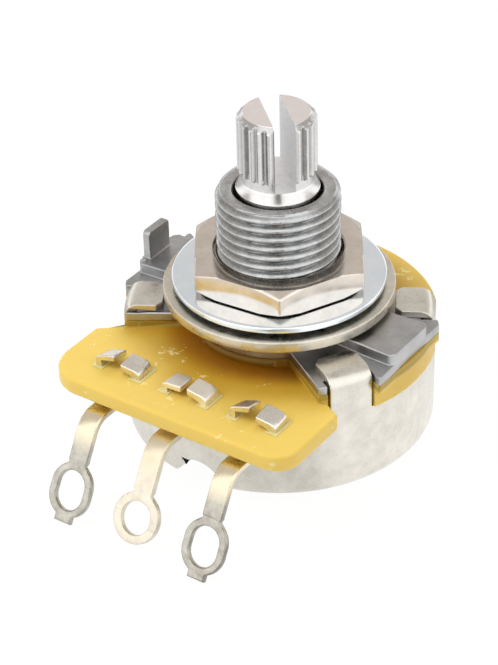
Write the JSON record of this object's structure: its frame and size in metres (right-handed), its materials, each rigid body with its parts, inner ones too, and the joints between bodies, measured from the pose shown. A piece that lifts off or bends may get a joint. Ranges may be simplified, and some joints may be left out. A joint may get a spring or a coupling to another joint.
{
  "type": "rotary potentiometer",
  "caption": "Panel-mount rotary potentiometer: round metal can, threaded bushing with nut and washers, split knurled shaft and a front row of solder eyelets.",
  "frame": {"origin": "on the shaft's axis, at the plate's seat that faces the panel, under the lock washer", "axes": "+Z along the shaft towards the knob end, -Y towards the terminals, +X to the right seen from the terminals with the shaft up"},
  "size_m": [0.0242, 0.0326, 0.0274],
  "materials": {
    "nickel_steel": "satin nickel plate on drawn steel",
    "zinc": "bare zinc die-casting",
    "board": "waxy yellow moulded plastic",
    "laminate": "carbon ink on paper laminate",
    "tinned_brass": "warm tin plate",
    "terminal_grey": "dull tin plate",
    "bronze": "rolled phosphor bronze",
    "shaft_metal": "turned, bright",
    "dark_steel": "hardened, phosphated",
    "rotor_phenolic": "brown phenolic moulding",
    "washer_steel": "nickel plate, tumbled",
    "zinc_plate": "bright zinc plate with a blue tint",
    "nut_nickel": "polished nickel plate"
  },
  "bodies": {
    "housing": {"housing_can": "nickel_steel", "bushing_plate": "zinc", "terminal_board": "board", "resistance_element": "laminate", "collector_ring": "tinned_brass", "terminal_left": "terminal_grey", "terminal_middle": "tinned_brass", "terminal_right": "terminal_grey", "thrust_washer": "bronze", "lock_washer": "washer_steel"},
    "rotor": {"shaft": "shaft_metal", "retaining_ring": "dark_steel", "rotor_disc": "rotor_phenolic", "stop_arm": "dark_steel", "wiper_spring": "bronze"},
    "washer": {"flat_washer": "zinc_plate"},
    "nut": {"hex_nut": "nut_nickel"}
  },
  "joints": [
    {"name": "shaft_turn", "type": "hinge", "parent": "housing", "child": "rotor", "pos_m": [0, 0, 0], "axis": [0, 0, 1], "range_deg": [-150, 150]},
    {"name": "nut_travel", "type": "slide", "parent": "housing", "child": "washer", "axis": [0, 0, 1], "range_m": [0, 0.00397]},
    {"name": "nut_turn", "type": "hinge", "parent": "washer", "child": "nut", "pos_m": [0, 0, 0.003], "axis": [0, 0, 1], "range_deg": [0, 1800]}
  ],
  "couplings": [
    {"joint": "nut_turn", "follows": "nut_travel", "rad_per_m": 7915.8}
  ]
}
